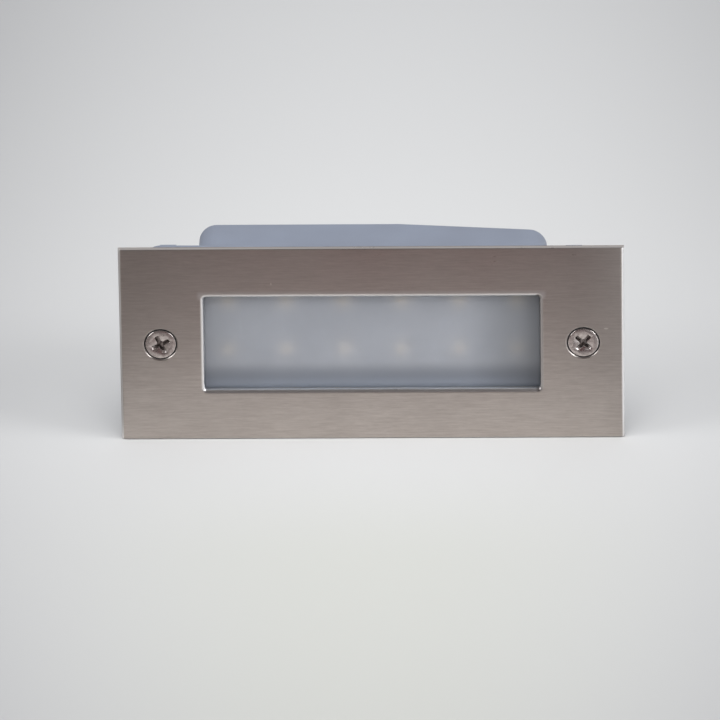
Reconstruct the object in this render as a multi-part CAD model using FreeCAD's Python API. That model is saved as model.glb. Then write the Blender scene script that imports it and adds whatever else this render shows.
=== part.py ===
import FreeCAD, Part
import math
import os

# Step light for a wall recess, in millimetres: +X right seen from the front, +Y into the wall, +Z up.
# The origin is the centre of the flange's rear face, in the wall plane, and the front looks along -Y.

# cover plate
plate_width = 170.0
plate_height = 70.0
plate_thickness = 2.0
plate_side_round = 1.0
plate_edge_round = 0.3
window_width = 113.0
window_height = 34.0
window_corner_radius = 0.8
window_edge_round = 1.5
cover_screw_spacing = 142.5

# housing
flange_width = 152.0
flange_height = 66.7
flange_taper = 0.8
flange_depth = 6.0
flange_corner_radius = 5.0
flange_edge_round = 0.8
pad_width = 5.5
pad_rise = 0.3
box_width = 118.0
box_height = 50.0
box_depth = 36.0
box_corner_radius = 6.0
box_wall = 2.2
box_rear_round = 1.4
rear_ridge_x = 9.0
rear_drop = 5.75
mouth_width = 127.0
mouth_height = 54.0
mouth_corner_radius = 4.0
ledge_thickness = 1.4

# fits
seat_gap = 0.2
press_gap = 0.02
thread_gap = 0.05
running_gap = 0.08

# fixing holes in the flange, for the wall
wall_fixing_spacing_x = 140.0
wall_fixing_spacing_z = 48.0
wall_fixing_hole_radius = 2.25
wall_fixing_head_radius = 4.0
wall_fixing_head_depth = 3.0

# seals
face_seal_width = 1.5
face_seal_depth = 1.2
gasket_web = 1.2
gasket_lip_depth = 0.7
gasket_lip_reach = 1.7

# pane
pane_width = 117.8
pane_height = 39.8
pane_thickness = 2.0
pane_edge_round = 0.25
pane_corner_radius = 1.5

# reflector tray
tray_floor_thickness = 1.2
trough_width = 109.6
trough_height = 34.0
trough_depth = 9.8
trough_taper = 2.0
trough_corner_radius = 2.2
trough_wall = 1.5
tray_screw_spacing_x = 80.0
tray_screw_offset = 1.05
tray_screw_head_radius = 2.0
tray_screw_head_height = 1.4
tray_screw_radius = 1.2
tray_screw_length = 8.0
tray_boss_radius = 3.0
tray_boss_depth = 7.0
tray_boss_skin = 1.2

# lamp board
led_board_width = 110.0
led_board_height = 43.0
led_board_thickness = 1.6
led_board_corner_radius = 2.0
led_columns = 6
led_rows = 2
led_pitch = 19.5
led_row_pitch = 17.5
led_length = 3.5
led_width = 2.8
led_height = 0.8
led_corner_radius = 0.3
led_bowl_radius = 1.1
led_bowl_depth = 0.12
led_resistor_length = 2.0
led_resistor_width = 1.25
led_resistor_height = 0.5
led_board_screw_spacing_x = 100.0
led_board_screw_spacing_z = 38.4
led_board_screw_head_radius = 2.0
led_board_screw_head_height = 1.4
led_board_screw_radius = 1.1
led_board_screw_length = 6.0
led_post_radius = 2.3

# cover screws, their seals and inserts
screw_head_radius = 5.2
screw_head_land = 0.15
screw_head_ease = 0.12
screw_neck_length = 0.3
screw_major_radius = 2.45
screw_thread_depth = 0.35
screw_pitch = 0.8
screw_tip = 0.4
screw_recess_length = 6.0
screw_recess_width = 1.4
screw_recess_depth = 2.2
screw_recess_foot = 2.2
left_recess_angle = -26.0
right_recess_angle = -49.0
countersink_gap = 0.7
countersink_round = 0.25
screw_seal_gap = 0.06
screw_seal_setback = 0.3
insert_radius = 3.5
insert_length = 4.1
insert_setback = 1.1
insert_relief_radius = 2.8
insert_groove_depth = 0.25
insert_grooves = 4
thread_crest_share = 0.16
pan_bevel_share = 0.35
pan_slot_depth_share = 0.65
pan_slot_length_share = 1.2
pan_slot_width_share = 0.28

# driver board and what stands on it
driver_board_width = 50.0
driver_board_height = 34.0
driver_board_thickness = 1.6
driver_board_x = 30.0
driver_board_rear = 8.2
driver_post_radius = 2.6
driver_screw_inset = 4.0
driver_screw_radius = 1.1
driver_screw_length = 5.0
driver_screw_head_radius = 2.0
driver_screw_head_height = 1.4
part_clearance = 2.5
electrolytic_place = (-15.0, 5.0)
electrolytic_radius = 4.0
electrolytic_rim_round = 0.5
electrolytic_bead_depth = 0.5
electrolytic_bead_width = 1.2
electrolytic_bead_height = 2.3
film_place = (1.5, 11.0)
film_width = 13.0
film_height = 6.0
film_shortfall = 1.5
film_round = 0.5
bridge_place = (-4.0, -1.0)
bridge_width = 8.0
bridge_height = 6.5
bridge_depth = 3.0
bridge_stand_off = 0.6
bridge_leg_radius = 0.35
bridge_leg_inset = 1.1
fuse_place = (-8.0, -11.0)
fuse_radius = 1.8
fuse_glass_radius = 1.5
fuse_length = 10.0
fuse_cap_length = 2.2
inductor_place = (15.0, 6.0)
inductor_radius = 4.5
inductor_shortfall = 2.5
inductor_waist_radius = 3.0
inductor_rim = 1.2
inductor_coil_inset = 0.35
inductor_turns = 11
chip_place = (6.0, -4.0)
chip_length = 4.9
chip_width = 3.9
chip_height = 1.5
chip_stand_off = 0.15
chip_leads = 4
chip_lead_width = 0.42
chip_lead_thickness = 0.25
chip_lead_pitch = 1.27
chip_lead_reach = 1.05
resistor_place = (13.0, -6.7)
resistor_count = 3
resistor_radius = 1.15
resistor_length = 6.0
resistor_lead_radius = 0.3
resistor_lead_reach = 0.9
resistor_pitch = 3.6

# terminal block
terminal_x = -13.0
terminal_length = 20.0
terminal_height = 17.0
terminal_depth = 12.0
terminal_pedestal = 5.0
terminal_hole_height = 5.4
terminal_groove_width = 2.4
terminal_groove_depth = 2.0
terminal_pitch = 8.4
terminal_hole_radius = 2.1
terminal_screw_offset = 5.5
terminal_screw_radius = 1.5
terminal_screw_hole_radius = 1.75
terminal_screw_sink = 1.5
terminal_slot_width = 0.6
terminal_slot_depth = 0.8
clamp_length = 16.0
clamp_outer_radius = 2.05
clamp_inner_radius = 1.45
block_screw_radius = 1.4
block_screw_head_radius = 1.9
block_screw_head_height = 1.5
block_screw_length = 12.0
block_screw_sink = 6.0

# cable gland
gland_x = -40.0
gland_thread_radius = 7.9
gland_thread_pitch = 1.5
gland_thread_depth = 0.35
gland_stub_length = 7.0
gland_flange_flats = 20.0
gland_flange_depth = 5.0
gland_washer_radius = 10.4
gland_washer_thickness = 0.8
gland_bore_radius = 4.6
gland_collar_radius = 7.2
gland_collar_length = 8.0
gland_seat_radius = 5.4
gland_insert_bore_radius = 3.5
gland_insert_length = 8.5
gland_ring_thickness = 0.8
gland_ring_inner_radius = 3.8
gland_locknut_flats = 22.0
gland_locknut_thickness = 4.5
gland_nut_flats = 20.0
gland_nut_start = 1.2
gland_nut_skirt = 9.0
gland_nut_dome = 3.6
gland_nut_opening_radius = 4.3
gland_nut_lip = 1.5
gland_nut_shoulder = 1.0
gland_hex_chamfer = 0.8

# wiring
wire_radius = 0.9
wire_bend_radius = 1.9
wire_end_radius = 0.5
wire_bare_length = 4.0
wire_hold = 3.0
supply_wire_rise = 4.5
supply_wire_bend_start = 4.6
supply_wire_bend_end = 1.6
supply_wire_landing = 3.4
lamp_wire_inset = 3.2
lamp_wire_shift = 1.5
lamp_wire_slant = 3.2
lamp_wire_heights = (-4.0, -8.0)

plate_rear = -flange_depth
plate_front = plate_rear - plate_thickness
ledge = -ledge_thickness
tray_floor = ledge - tray_floor_thickness
led_board_front = ledge + trough_depth
led_board_back = led_board_front + led_board_thickness
rear_inside = box_depth - box_wall
rear_slope = rear_drop / (box_width / 2 - rear_ridge_x)
inner_width = box_width - 2 * box_wall
inner_height = box_height - 2 * box_wall
gasket_width = pane_width + 2 * gasket_web
gasket_height = pane_height + 2 * gasket_web
cover_screw_x = cover_screw_spacing / 2
tray_rim_height = mouth_height - 2 * seat_gap
tray_screw_z = (gasket_height + tray_rim_height) / 4 + tray_screw_offset / 4
driver_board_back = rear_inside - driver_board_rear
driver_board_front = driver_board_back - driver_board_thickness
terminal_base = rear_inside - terminal_pedestal
terminal_front = terminal_base - terminal_depth
terminal_hole_y = terminal_base - terminal_hole_height
block_screw_seat = terminal_front + block_screw_sink
tallest_part = driver_board_front - led_board_back - part_clearance
film_depth = tallest_part - film_shortfall
inductor_height = tallest_part - inductor_shortfall


def vector(x, y, z):
    return FreeCAD.Vector(x, y, z)


along_x = vector(1, 0, 0)
along_y = vector(0, 1, 0)
along_z = vector(0, 0, 1)


def lengthwise(edge, direction):
    """True for a straight edge along the given direction."""
    if not isinstance(edge.Curve, (Part.Line, Part.LineSegment)):
        return False
    run = edge.Vertexes[-1].Point - edge.Vertexes[0].Point
    return run.cross(direction).Length < 1e-6 * max(run.Length, 1e-6)


def block(x, width, y0, y1, z, height):
    """A box centred on x and z, from y0 to y1."""
    corner = vector(x - width / 2, y0, z - height / 2)
    return Part.makeBox(width, y1 - y0, height, corner)


def slab(width, height, y0, y1, radius, x=0.0, z=0.0):
    """A box whose four edges along Y are rounded."""
    shape = block(x, width, y0, y1, z, height)
    edges = [edge for edge in shape.Edges if lengthwise(edge, along_y)]
    return shape.makeFillet(radius, edges)


def frame_ring(outer_width, outer_height, outer_radius, width, y0, y1):
    """A rectangular ring of one width all round."""
    inner_radius = max(outer_radius - width, 0.3)
    hole = slab(outer_width - 2 * width, outer_height - 2 * width, y0 - 1, y1 + 1, inner_radius)
    return slab(outer_width, outer_height, y0, y1, outer_radius).cut(hole)


def rod(radius, x, z, y0, y1):
    return Part.makeCylinder(radius, y1 - y0, vector(x, y0, z), along_y)


def ring(outer_radius, inner_radius, x, z, y0, y1):
    return rod(outer_radius, x, z, y0, y1).cut(rod(inner_radius, x, z, y0 - 1, y1 + 1))


def turned(outline, x, z):
    """A solid of revolution about the Y line through x, z, from (radius, y) points."""
    points = [vector(x + radius, y, z) for radius, y in outline]
    face = Part.Face(Part.makePolygon(points + points[:1]))
    return face.revolve(vector(x, 0, z), along_y, 360)


def hexagon(flats, x, z, y0, y1, chamfer):
    """A hexagonal prism along Y, its corners turned down at both ends."""
    corner_radius = flats / math.sqrt(3)
    points = []
    for index in range(7):
        angle = math.radians(60 * index)
        points.append(vector(x + corner_radius * math.cos(angle), y0, z + corner_radius * math.sin(angle)))
    prism = Part.Face(Part.makePolygon(points)).extrude(vector(0, y1 - y0, 0))
    cone_top = corner_radius - chamfer
    outline = [(0, y0), (cone_top, y0), (corner_radius + chamfer, y0 + chamfer)]
    outline += [(corner_radius + chamfer, y1 - chamfer), (cone_top, y1), (0, y1)]
    return prism.common(turned(outline, x, z))


def threaded_rod(major_radius, depth, pitch, x, z, y0, y1):
    """A rod with a ring groove for each turn of its thread."""
    outline = [(0, y0), (major_radius - depth, y0)]
    turns = int((y1 - y0) / pitch)
    start = y1 - turns * pitch
    for turn in range(turns):
        foot = start + turn * pitch
        outline.append((major_radius - depth, foot))
        outline.append((major_radius, foot + (0.5 - thread_crest_share / 2) * pitch))
        outline.append((major_radius, foot + (0.5 + thread_crest_share / 2) * pitch))
    outline += [(major_radius - depth, y1), (0, y1)]
    tidy = [outline[0]]
    for point in outline[1:]:
        if math.dist(point, tidy[-1]) > 1e-6:
            tidy.append(point)
    return turned(tidy, x, z)


def quarters(spacing_x, spacing_z, x=0.0):
    """The four corner places of a rectangle."""
    return [(x + sx * spacing_x / 2, sz * spacing_z / 2) for sx in (-1, 1) for sz in (-1, 1)]


def fuse_all(shapes):
    return shapes[0].multiFuse(shapes[1:]).removeSplitter()


def cut_all(shape, tools):
    return shape.cut(tools)


def pan_screw(x, z, seat, head_radius, head_height, radius, length, direction):
    """A small pan head screw with a cross slot; direction is the way its tip points along Y."""
    bevel = head_height * pan_bevel_share
    outline = [(0, 0), (head_radius, 0), (head_radius, -head_height + bevel)]
    outline += [(head_radius - bevel, -head_height), (0, -head_height)]
    outline = [(r, seat + direction * y) for r, y in outline]
    head = turned(outline, x, z)
    tip = radius / 2
    shank = [(0, -head_height / 2), (radius, -head_height / 2), (radius, length - tip)]
    shank += [(radius - tip, length), (0, length)]
    shank = [(r, seat + direction * y) for r, y in shank]
    body = head.fuse(turned(shank, x, z))
    top = seat - direction * head_height
    floor = top + direction * head_height * pan_slot_depth_share
    low, high = min(top, floor), max(top, floor)
    slot_width = head_radius * pan_slot_width_share
    slot_length = head_radius * pan_slot_length_share
    wide = block(x, slot_length, low, high, z, slot_width)
    tall = block(x, slot_width, low, high, z, slot_length)
    return cut_all(body, [wide, tall])


# ---- cover plate -------------------------------------------------------------------------------

def countersink_radius(y):
    return screw_head_radius + countersink_gap - (y - plate_front)


def make_faceplate():
    plate = block(0, plate_width, plate_front, plate_rear, 0, plate_height)
    sides = []
    for edge in plate.Edges:
        if lengthwise(edge, along_z) and all(abs(v.Y - plate_front) < 1e-6 for v in edge.Vertexes):
            sides.append(edge)
    plate = plate.makeFillet(plate_side_round, sides)
    rim = []
    for edge in plate.Edges:
        at_end = all(abs(abs(v.Z) - plate_height / 2) < 1e-6 for v in edge.Vertexes)
        behind = all(abs(v.Y - plate_rear) < 1e-6 for v in edge.Vertexes)
        if at_end and not behind and not lengthwise(edge, along_z):
            rim.append(edge)
    plate = plate.makeFillet(plate_edge_round, rim)
    window = slab(window_width, window_height, plate_front - 1, plate_rear + 1, window_corner_radius)
    plate = plate.cut(window)
    reach_x = window_width / 2 + 1e-3
    reach_z = window_height / 2 + 1e-3
    lip = []
    for edge in plate.Edges:
        on_front = all(abs(v.Y - plate_front) < 1e-6 for v in edge.Vertexes)
        in_window = all(abs(v.X) < reach_x and abs(v.Z) < reach_z for v in edge.Vertexes)
        if on_front and in_window:
            lip.append(edge)
    plate = plate.makeFillet(window_edge_round, lip)
    for side in (-1, 1):
        reach = 1.0
        outline = [(0, plate_front - reach), (countersink_radius(plate_front - reach), plate_front - reach)]
        outline += [(countersink_radius(plate_rear + reach), plate_rear + reach), (0, plate_rear + reach)]
        plate = plate.cut(turned(outline, side * cover_screw_x, 0))
    mouths = []
    for edge in plate.Edges:
        if isinstance(edge.Curve, Part.Circle) and abs(edge.Curve.Center.y - plate_front) < 1e-6:
            mouths.append(edge)
    return plate.makeFillet(countersink_round, mouths)


# ---- housing -----------------------------------------------------------------------------------

def recess_form(width, height, y0, depth, radius):
    """The box's form: straight at the back on the left, slanting forward to the right of the ridge."""
    side = width / 2
    right_end = depth - rear_slope * (side - rear_ridge_x)
    outline = [(-side, y0), (side, y0), (side, right_end), (rear_ridge_x, depth), (-side, depth)]
    points = [vector(x, y, -height / 2) for x, y in outline]
    prism = Part.Face(Part.makePolygon(points + points[:1])).extrude(vector(0, 0, height))
    return prism.common(slab(width, height, y0, depth, radius))


def wall_inside(x):
    """Where the rear wall's inner face lies."""
    return rear_inside - rear_slope * max(x - rear_ridge_x, 0)


def rear_post(radius, x, z, front):
    return rod(radius, x, z, front, wall_inside(x) + box_wall / 2)


def driver_screw_places():
    return quarters(driver_board_width - 2 * driver_screw_inset,
                    driver_board_height - 2 * driver_screw_inset, driver_board_x)


def tray_screw_places():
    return quarters(tray_screw_spacing_x, 2 * tray_screw_z)


def make_flange():
    """The flange draws in a little at its right end."""
    side, left, right = flange_width / 2, flange_height / 2, flange_height / 2 - flange_taper
    corners = [(-side, -left), (side, -right), (side, right), (-side, left)]
    points = [vector(x, plate_rear, z) for x, z in corners]
    flange = Part.Face(Part.makePolygon(points + points[:1])).extrude(vector(0, flange_depth, 0))
    upright = [edge for edge in flange.Edges if lengthwise(edge, along_y)]
    flange = flange.makeFillet(flange_corner_radius, upright)
    back_rim = [edge for edge in flange.Edges if all(abs(v.Y) < 1e-6 for v in edge.Vertexes)]
    flange = flange.makeFillet(flange_edge_round, back_rim)
    pad_x = flange_width / 2 - flange_corner_radius - pad_width / 2
    pads = []
    for end, height in ((-1, flange_height), (1, flange_height - 2 * flange_taper)):
        pads.append(block(end * pad_x, pad_width, plate_rear, -flange_edge_round, 0, height + 2 * pad_rise))
    return fuse_all([flange] + pads)


def make_housing():
    shell = recess_form(box_width, box_height, plate_rear, box_depth, box_corner_radius)
    rear_rim = []
    for edge in shell.Edges:
        at_rear = all(v.Y > box_depth - rear_drop - 1e-3 for v in edge.Vertexes)
        ridge = all(abs(v.X - rear_ridge_x) < 1e-3 for v in edge.Vertexes)
        if at_rear and not ridge:
            rear_rim.append(edge)
    shell = shell.makeFillet(box_rear_round, rear_rim)
    bosses = [rod(tray_boss_radius, x, z, ledge, tray_boss_depth) for x, z in tray_screw_places()]
    solid = fuse_all([make_flange(), shell])
    hollow = recess_form(inner_width, inner_height, plate_rear - 1, rear_inside, box_corner_radius - box_wall)
    mouth = slab(mouth_width, mouth_height, plate_rear - 1, ledge, mouth_corner_radius)
    seal_room = 2 * (face_seal_width + seat_gap)
    seal_seat = slab(mouth_width + seal_room, mouth_height + seal_room, plate_rear - 1,
                     plate_rear + face_seal_depth, mouth_corner_radius + face_seal_width)
    solid = cut_all(solid, [hollow, mouth, seal_seat])
    posts = [rear_post(driver_post_radius, x, z, driver_board_back) for x, z in driver_screw_places()]
    pedestal_end = rear_inside + box_wall / 2
    pedestal = block(terminal_x, terminal_length, terminal_base, pedestal_end, 0, terminal_height)
    solid = fuse_all([solid] + bosses + posts + [pedestal])
    holes = []
    for x, z in tray_screw_places():
        holes.append(rod(tray_screw_radius + thread_gap, x, z, ledge - 1, tray_boss_depth - tray_boss_skin))
    for x, z in driver_screw_places():
        pilot_end = driver_board_front + driver_screw_length + seat_gap
        holes.append(rod(driver_screw_radius + thread_gap, x, z, driver_board_front, pilot_end))
    for side in (-1, 1):
        x = side * cover_screw_x
        insert_end = plate_rear + insert_setback + insert_length
        holes.append(rod(insert_radius + press_gap, x, 0, plate_rear - 1, insert_end))
        holes.append(rod(insert_relief_radius, x, 0, plate_rear, 1))
    for x, z in quarters(wall_fixing_spacing_x, wall_fixing_spacing_z):
        holes.append(rod(wall_fixing_hole_radius, x, z, plate_rear - 1, 1))
        holes.append(rod(wall_fixing_head_radius, x, z, plate_rear - 1, plate_rear + wall_fixing_head_depth))
    block_pilot_end = block_screw_seat + block_screw_length + seat_gap
    holes.append(rod(block_screw_radius + thread_gap, terminal_x, 0, terminal_base - 1, block_pilot_end))
    holes.append(rod(gland_thread_radius + seat_gap, gland_x, 0, rear_inside - 1, box_depth + 1))
    return cut_all(solid, holes)


# ---- seals, pane and tray ----------------------------------------------------------------------

def make_face_seal():
    gap = seat_gap / 2
    width = mouth_width + 2 * (face_seal_width + gap)
    height = mouth_height + 2 * (face_seal_width + gap)
    radius = mouth_corner_radius + face_seal_width - gap
    return frame_ring(width, height, radius, face_seal_width, plate_rear, plate_rear + face_seal_depth)


def make_pane():
    rear = tray_floor - gasket_lip_depth
    front = rear - pane_thickness
    pane = slab(pane_width - seat_gap, pane_height - seat_gap, front, rear, pane_corner_radius)
    rims = [edge for edge in pane.Edges if not lengthwise(edge, along_y)]
    return pane.makeFillet(pane_edge_round, rims)


def make_pane_gasket():
    rear = tray_floor - gasket_lip_depth
    front = rear - pane_thickness
    outer = frame_ring(gasket_width, gasket_height, pane_corner_radius + gasket_web,
                       gasket_web + gasket_lip_reach, plate_rear, tray_floor)
    channel = slab(pane_width, pane_height, front, rear, pane_corner_radius)
    return outer.cut(channel)


def trough(width, height, depth, taper, start, radius):
    """The funnel between the pane and the lamps, narrower at the lamps."""
    wires = []
    for y, shrink in ((start, 0.0), (start + depth, taper)):
        section = slab(width - 2 * shrink, height - 2 * shrink, y, y + 1, radius)
        front = [face for face in section.Faces if all(abs(v.Y - y) < 1e-6 for v in face.Vertexes)]
        wires.append(front[0].OuterWire)
    return Part.makeLoft(wires, True, True)


def make_tray():
    rim = slab(mouth_width - 2 * seat_gap, tray_rim_height, plate_rear + seat_gap / 2, ledge,
               mouth_corner_radius - seat_gap)
    rebate = slab(gasket_width + seat_gap, gasket_height + seat_gap, plate_rear - 1, tray_floor,
                  pane_corner_radius + gasket_web)
    slope = trough_taper / (led_board_front - tray_floor)
    depth = led_board_front - tray_floor
    outer = trough(trough_width + 2 * trough_wall, trough_height + 2 * trough_wall, depth, slope * depth,
                   tray_floor, trough_corner_radius + trough_wall)
    posts = []
    for x, z in quarters(led_board_screw_spacing_x, led_board_screw_spacing_z):
        posts.append(rod(led_post_radius, x, z, tray_floor + tray_floor_thickness / 2, led_board_front))
    solid = fuse_all([rim.cut(rebate), outer] + posts)
    reach = 0.5
    inner = trough(trough_width + 2 * slope * reach, trough_height + 2 * slope * reach, depth + 2 * reach,
                   slope * (depth + 2 * reach), tray_floor - reach, trough_corner_radius)
    holes = [inner]
    for x, z in quarters(led_board_screw_spacing_x, led_board_screw_spacing_z):
        pilot_start = led_board_back - led_board_screw_length - seat_gap
        holes.append(rod(led_board_screw_radius + thread_gap, x, z, pilot_start, led_board_front + 1))
    for x, z in tray_screw_places():
        holes.append(rod(tray_screw_radius + seat_gap, x, z, plate_rear - 1, ledge + 1))
        holes.append(rod(tray_screw_head_radius + seat_gap, x, z, plate_rear - 1, tray_screw_seat()))
    return cut_all(solid, holes)


def tray_screw_seat():
    return tray_floor - seat_gap


def make_tray_screws():
    screws = []
    for x, z in tray_screw_places():
        screws.append(pan_screw(x, z, tray_screw_seat(), tray_screw_head_radius, tray_screw_head_height,
                                tray_screw_radius, tray_screw_length, 1))
    return screws


# ---- lamp board --------------------------------------------------------------------------------

def make_led_board():
    board = slab(led_board_width, led_board_height, led_board_front, led_board_back, led_board_corner_radius)
    holes = []
    for x, z in quarters(led_board_screw_spacing_x, led_board_screw_spacing_z):
        holes.append(rod(led_board_screw_radius + seat_gap, x, z, led_board_front - 1, led_board_back + 1))
    return cut_all(board, holes)


def led_places():
    places = []
    for column in range(led_columns):
        for row in range(led_rows):
            x = (column - (led_columns - 1) / 2) * led_pitch
            z = (row - (led_rows - 1) / 2) * led_row_pitch
            places.append((x, z))
    return places


def make_leds():
    lamps = []
    for x, z in led_places():
        front = led_board_front - led_height
        lamp = slab(led_length, led_width, front, led_board_front, led_corner_radius, x, z)
        bowl = rod(led_bowl_radius, x, z, front - 1, front + led_bowl_depth)
        lamps.append(lamp.cut(bowl))
    return lamps


def make_led_resistors():
    resistors = []
    for column in range(led_columns - 1):
        x = (column - (led_columns - 2) / 2) * led_pitch
        resistors.append(block(x, led_resistor_length, led_board_front - led_resistor_height, led_board_front,
                               0, led_resistor_width))
    return resistors


def make_led_board_screws():
    screws = []
    for x, z in quarters(led_board_screw_spacing_x, led_board_screw_spacing_z):
        screws.append(pan_screw(x, z, led_board_back, led_board_screw_head_radius,
                                led_board_screw_head_height, led_board_screw_radius,
                                led_board_screw_length, -1))
    return screws


# ---- cover screws ------------------------------------------------------------------------------

def head_radius(y):
    """The screw head's cone, 45 degrees each side."""
    return screw_head_radius - (y - plate_front - screw_head_land)


def recess_wing(x, angle):
    """One wing of the cross recess: a flat wedge that narrows towards its foot."""
    top = plate_front - 0.1
    floor = plate_front + screw_recess_depth
    half, foot = screw_recess_length / 2, screw_recess_foot / 2
    outline = [(-half, top), (half, top), (foot, floor), (-foot, floor)]
    points = [vector(x + across, y, -screw_recess_width / 2) for across, y in outline]
    wing = Part.Face(Part.makePolygon(points + points[:1])).extrude(vector(0, 0, screw_recess_width))
    wing.rotate(vector(x, 0, 0), along_y, angle)
    return wing


def make_cover_screw(side, angle):
    x = side * cover_screw_x
    neck = plate_front + screw_head_land + screw_head_radius - screw_major_radius
    land = plate_front + screw_head_land
    ease = screw_head_ease
    outline = [(0, plate_front), (screw_head_radius - ease, plate_front)]
    outline += [(screw_head_radius, plate_front + ease)]
    outline += [(screw_head_radius, land), (screw_major_radius, neck)]
    outline += [(screw_major_radius, neck + screw_neck_length), (0, neck + screw_neck_length)]
    head = turned(outline, x, 0)
    shank_start = neck + screw_neck_length / 2
    shank = threaded_rod(screw_major_radius, screw_thread_depth, screw_pitch, x, 0, shank_start, -screw_tip)
    screw = head.fuse(shank)
    return cut_all(screw, [recess_wing(x, angle), recess_wing(x, angle + 90)])


def make_screw_seal(side):
    """A conical washer between the screw head and the plate's countersink."""
    near = plate_front + screw_seal_setback
    far = plate_rear - screw_seal_gap
    slack = screw_seal_gap * math.sqrt(2)
    outline = [(countersink_radius(near) - slack, near), (countersink_radius(far) - slack, far)]
    outline += [(head_radius(far) + slack, far), (head_radius(near) + slack, near)]
    return turned(outline, side * cover_screw_x, 0)


def make_inserts():
    inserts = []
    for side in (-1, 1):
        x = side * cover_screw_x
        start = plate_rear + insert_setback
        end = start + insert_length
        groove_pitch = insert_length / insert_grooves
        body = threaded_rod(insert_radius, insert_groove_depth, groove_pitch, x, 0, start, end)
        inserts.append(body.cut(rod(screw_major_radius + running_gap, x, 0, start - 1, end + 1)))
    return inserts


# ---- driver board ------------------------------------------------------------------------------

def on_board(place):
    """A place on the driver board, given from its centre."""
    return driver_board_x + place[0], place[1]


def make_driver_board():
    board = block(driver_board_x, driver_board_width, driver_board_front, driver_board_back, 0,
                  driver_board_height)
    holes = []
    for x, z in driver_screw_places():
        holes.append(rod(driver_screw_radius + seat_gap, x, z, driver_board_front - 1, driver_board_back + 1))
    return cut_all(board, holes)


def make_driver_screws():
    screws = []
    for x, z in driver_screw_places():
        screws.append(pan_screw(x, z, driver_board_front, driver_screw_head_radius, driver_screw_head_height,
                                driver_screw_radius, driver_screw_length, 1))
    return screws


def make_electrolytic():
    x, z = on_board(electrolytic_place)
    top = driver_board_front - tallest_part
    bead = driver_board_front - electrolytic_bead_height
    round_off = electrolytic_rim_round
    half_bead = electrolytic_bead_width / 2
    outline = [(0, top), (electrolytic_radius - round_off, top), (electrolytic_radius, top + round_off)]
    outline += [(electrolytic_radius, bead - half_bead)]
    outline += [(electrolytic_radius - electrolytic_bead_depth, bead)]
    outline += [(electrolytic_radius, bead + half_bead), (electrolytic_radius, driver_board_front)]
    return turned(outline + [(0, driver_board_front)], x, z)


def make_film_capacitor():
    x, z = on_board(film_place)
    body = block(x, film_width, driver_board_front - film_depth, driver_board_front, z, film_height)
    rims = [edge for edge in body.Edges if any(v.Y < driver_board_front - 1e-6 for v in edge.Vertexes)]
    return body.makeFillet(film_round, rims)


def make_bridge():
    x, z = on_board(bridge_place)
    base = driver_board_front - bridge_stand_off
    body = block(x, bridge_width, base - bridge_depth, base, z, bridge_height)
    legs = []
    span_x = bridge_width - 2 * bridge_leg_inset
    span_z = bridge_height - 2 * bridge_leg_inset
    for leg_x, leg_z in quarters(span_x, span_z, x):
        legs.append(rod(bridge_leg_radius, leg_x, z + leg_z, base - bridge_stand_off, driver_board_front))
    return fuse_all([body] + legs)


def make_fuse():
    x, z = on_board(fuse_place)
    y = driver_board_front - fuse_radius
    start = vector(x - fuse_length / 2, y, z)
    last_cap = vector(x + fuse_length / 2 - fuse_cap_length, y, z)
    glass = Part.makeCylinder(fuse_glass_radius, fuse_length, start, along_x)
    caps = [Part.makeCylinder(fuse_radius, fuse_cap_length, place, along_x) for place in (start, last_cap)]
    return fuse_all([glass] + caps)


def make_inductor_core():
    x, z = on_board(inductor_place)
    top = driver_board_front - inductor_height
    foot = driver_board_front - inductor_rim
    outline = [(0, top), (inductor_radius, top), (inductor_radius, top + inductor_rim)]
    outline += [(inductor_waist_radius, top + inductor_rim), (inductor_waist_radius, foot)]
    outline += [(inductor_radius, foot), (inductor_radius, driver_board_front), (0, driver_board_front)]
    return turned(outline, x, z)


def make_inductor_coil():
    x, z = on_board(inductor_place)
    top = driver_board_front - inductor_height + inductor_rim + press_gap
    end = driver_board_front - inductor_rim - press_gap
    pitch = (end - top) / inductor_turns
    crest = inductor_radius - inductor_coil_inset
    inner = inductor_waist_radius + press_gap
    outline = [(inner, top)]
    for turn in range(inductor_turns):
        outline.append((crest - pitch / 2, top + turn * pitch))
        outline.append((crest, top + (turn + 0.5) * pitch))
    outline += [(crest - pitch / 2, end), (inner, end)]
    return turned(outline, x, z)


def make_chip():
    x, z = on_board(chip_place)
    base = driver_board_front - chip_stand_off
    body = block(x, chip_length, base - chip_height, base, z, chip_width)
    knee_top = base - chip_height / 2
    overlap = chip_lead_thickness / 2
    leads = []
    for index in range(chip_leads):
        lead_x = x + (index - (chip_leads - 1) / 2) * chip_lead_pitch
        for side in (-1, 1):
            foot_z = z + side * (chip_width / 2 + chip_lead_reach / 2 - overlap)
            knee_z = z + side * (chip_width / 2 + overlap / 2)
            leads.append(block(lead_x, chip_lead_width, driver_board_front - chip_lead_thickness,
                               driver_board_front, foot_z, chip_lead_reach))
            leads.append(block(lead_x, chip_lead_width, knee_top, driver_board_front, knee_z,
                               chip_lead_thickness))
    return fuse_all([body] + leads)


def make_driver_resistors():
    resistors = []
    y = driver_board_front - resistor_radius
    for index in range(resistor_count):
        x, z = on_board((resistor_place[0], resistor_place[1] - index * resistor_pitch))
        start = vector(x - resistor_length / 2, y, z)
        pieces = [Part.makeCylinder(resistor_radius, resistor_length, start, along_x)]
        reach = resistor_length / 2 + resistor_lead_reach
        lead_start = vector(x - reach, y, z)
        pieces.append(Part.makeCylinder(resistor_lead_radius, 2 * reach, lead_start, along_x))
        for side in (-1, 1):
            pieces.append(Part.makeSphere(resistor_lead_radius, vector(x + side * reach, y, z)))
            pieces.append(rod(resistor_lead_radius, x + side * reach, z, y, driver_board_front))
        resistors.append(fuse_all(pieces))
    return resistors


# ---- terminal block ----------------------------------------------------------------------------

def pole_heights():
    return [-terminal_pitch / 2, terminal_pitch / 2]


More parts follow.
